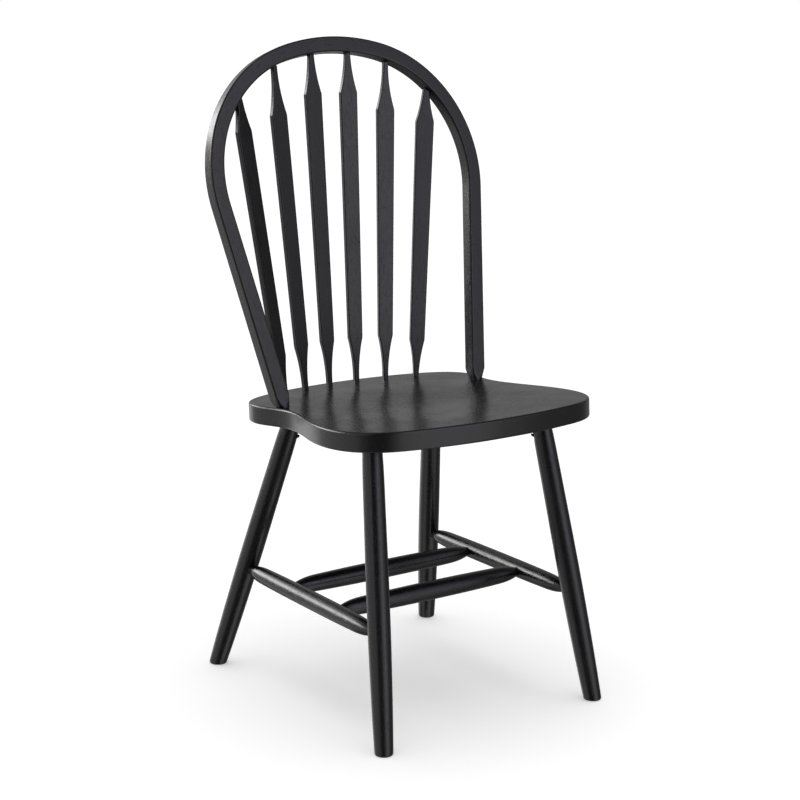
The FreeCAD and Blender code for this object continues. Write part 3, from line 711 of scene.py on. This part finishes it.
def stations(slat):
    """Heights above the foot of a slat at which its width is set."""
    first = -BEDDING
    last = slat["reach"] + BEDDING
    steps = range(FLARE_STEPS + 1)
    heights = [slat["lower"] - LOWER_FLARE * (1 - i / FLARE_STEPS) for i in steps]
    heights += [slat["upper"] + UPPER_FLARE * i / FLARE_STEPS for i in steps]
    return [first] + [height for height in heights if first < height < last] + [last]


def model_slat(name, slat):
    """One upright slat with its two pegs."""
    heights = stations(slat)
    width = half_width(heights[0], slat)
    bpy.ops.object.select_all(action="DESELECT")
    bpy.ops.mesh.primitive_plane_add(size=1, location=(0, 0, heights[0]))
    piece = bpy.context.object
    piece.scale = (2 * width, SLAT_THICKNESS, 1)
    bpy.ops.object.transform_apply(location=True, rotation=True, scale=True)
    open_new(name)
    bpy.ops.mesh.select_all(action="SELECT")
    for below, height in zip(heights, heights[1:]):
        wider = half_width(height, slat) / width
        push((0, 0, height - below), (wider, 1, 1), (0, 0, height))
        width = half_width(height, slat)
    ease_long_edges(piece)
    foot_peg = FOOT_PEG + NECK_HALF
    head_peg = HEAD_PEG + NECK_HALF
    for depth, middle in ((foot_peg, NECK_HALF - foot_peg / 2),
                          (head_peg, slat["reach"] - NECK_HALF + head_peg / 2)):
        bpy.ops.mesh.primitive_cylinder_add(vertices=24, radius=PEG_RADIUS, depth=depth,
                                            location=(0, 0, middle))
        bpy.ops.mesh.intersect_boolean(operation="UNION", solver="EXACT")
    bpy.ops.object.mode_set(mode="OBJECT")
    return piece


# %% [markdown]
# The three slats of the right half are modelled, turned to face the sitter and stood on the seat.
# The left half is a mirrored copy of each, with its own mesh and its faces turned outwards again.

# %% Stand the slats on the seat
right_names = ["spindle_4", "spindle_5", "spindle_6"]
left_names = ["spindle_3", "spindle_2", "spindle_1"]
slats = {}
for right_name, left_name, slat in zip(right_names, left_names, SLATS):
    piece = model_slat("slat_" + right_name[-1], slat)
    foot = Vector(slat["foot"])
    up = (Vector(slat["head"]) - foot).normalized()
    facing = math.radians(slat["facing"])
    front = Vector((math.cos(facing), -math.sin(facing), 0)).cross(up).normalized()
    carry(piece, foot, up.cross(front), up)
    close_up(piece)
    slats[right_name] = piece
    bpy.ops.object.duplicate(linked=False)
    twin = bpy.context.object
    twin.name = "slat_" + left_name[-1]
    twin.scale = (-1, 1, 1)
    bpy.ops.object.transform_apply(location=True, rotation=True, scale=True)
    close_up(twin)
    slats[left_name] = twin
for node, piece in sorted(slats.items()):
    hand_in(piece, node)

# %% [markdown]
# ## Grain along each piece
# A turned leg or a slat is cut with the grain running along it, and in this seat plank it runs
# from front to back. The longest direction of a stick is found from its mesh, and the pattern is
# turned so that its long axis lies there. On the seat the pores and ridges are fainter.

# %% Paint every piece
SEAT_MARKS = {"pores": 0.25, "ridges": 0.12}
OWN_PAINT = ("bow", "leg_screws")


def long_axis(piece):
    """Direction from one end of a straight piece to the other, from its furthest vertices."""
    points = [vertex.co for vertex in piece.data.vertices]
    middle = sum(points, Vector()) / len(points)
    one = max(points, key=lambda point: (point - middle).length)
    other = max(points, key=lambda point: (point - one).length)
    return (one - other).normalized()


def turn_to_z(direction):
    """The rotation that brings a direction onto the Z axis."""
    return direction.rotation_difference(Vector((0, 0, 1))).to_euler()


painted = {name: piece for name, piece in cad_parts.items() if name not in OWN_PAINT}
painted.update(slats)
for name, piece in sorted(painted.items()):
    axis = Vector((0, 1, 0)) if name == "seat" else long_axis(piece)
    marks = SEAT_MARKS if name == "seat" else {}
    wear(piece, black_paint("paint_" + name, turn_to_z(axis), **marks))
    print(name, [round(v, 2) for v in axis])

# %% [markdown]
# ## The leg screws
# One screw goes up through each leg into the seat, and its round head stands out of a pocket on
# the leg's inner side. It is steel with a black oxide skin, which is a metal finish and not a
# paint: it mirrors dimly, and it is worn to a slightly brighter grey in small patches.

# %% Black oxide on the screws
OXIDE_DARK = (0.020, 0.020, 0.022, 1)
OXIDE_WORN = (0.070, 0.068, 0.066, 1)
WORN_LIMITS = (0.52, 0.70)
OXIDE_DULLNESS = 0.46
WORN_SHEEN = 0.14
GRIT_DULLNESS = 0.10

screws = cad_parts["leg_screws"]
steel, tree = new_finish("black_steel")
place = add_node(tree, "ShaderNodeTexCoord").outputs["Object"]
grit = add_node(tree, "ShaderNodeTexNoise", Vector=place, Scale=2500.0, Detail=3.0).outputs["Fac"]
patch = add_node(tree, "ShaderNodeTexNoise", Vector=place, Scale=260.0, Detail=4.0,
                 Roughness=0.7).outputs["Fac"]
worn = fade(tree, patch, *WORN_LIMITS)
dull = math_node(tree, "SUBTRACT", OXIDE_DULLNESS, math_node(tree, "MULTIPLY", worn, WORN_SHEEN))
dull = math_node(tree, "ADD", dull, math_node(tree, "MULTIPLY", grit, GRIT_DULLNESS))
bump = add_node(tree, "ShaderNodeBump", Height=grit, Strength=0.25, Distance=0.0001)
shader = add_node(tree, "ShaderNodeBsdfPrincipled", Roughness=dull, Metallic=1.0,
                  Base_Color=mixed(tree, worn, OXIDE_DARK, OXIDE_WORN), Normal=bump.outputs[0])
add_node(tree, "ShaderNodeOutputMaterial", Surface=shader.outputs[0])
wear(screws, steel)
print("screws:", len(screws.data.polygons), "faces")
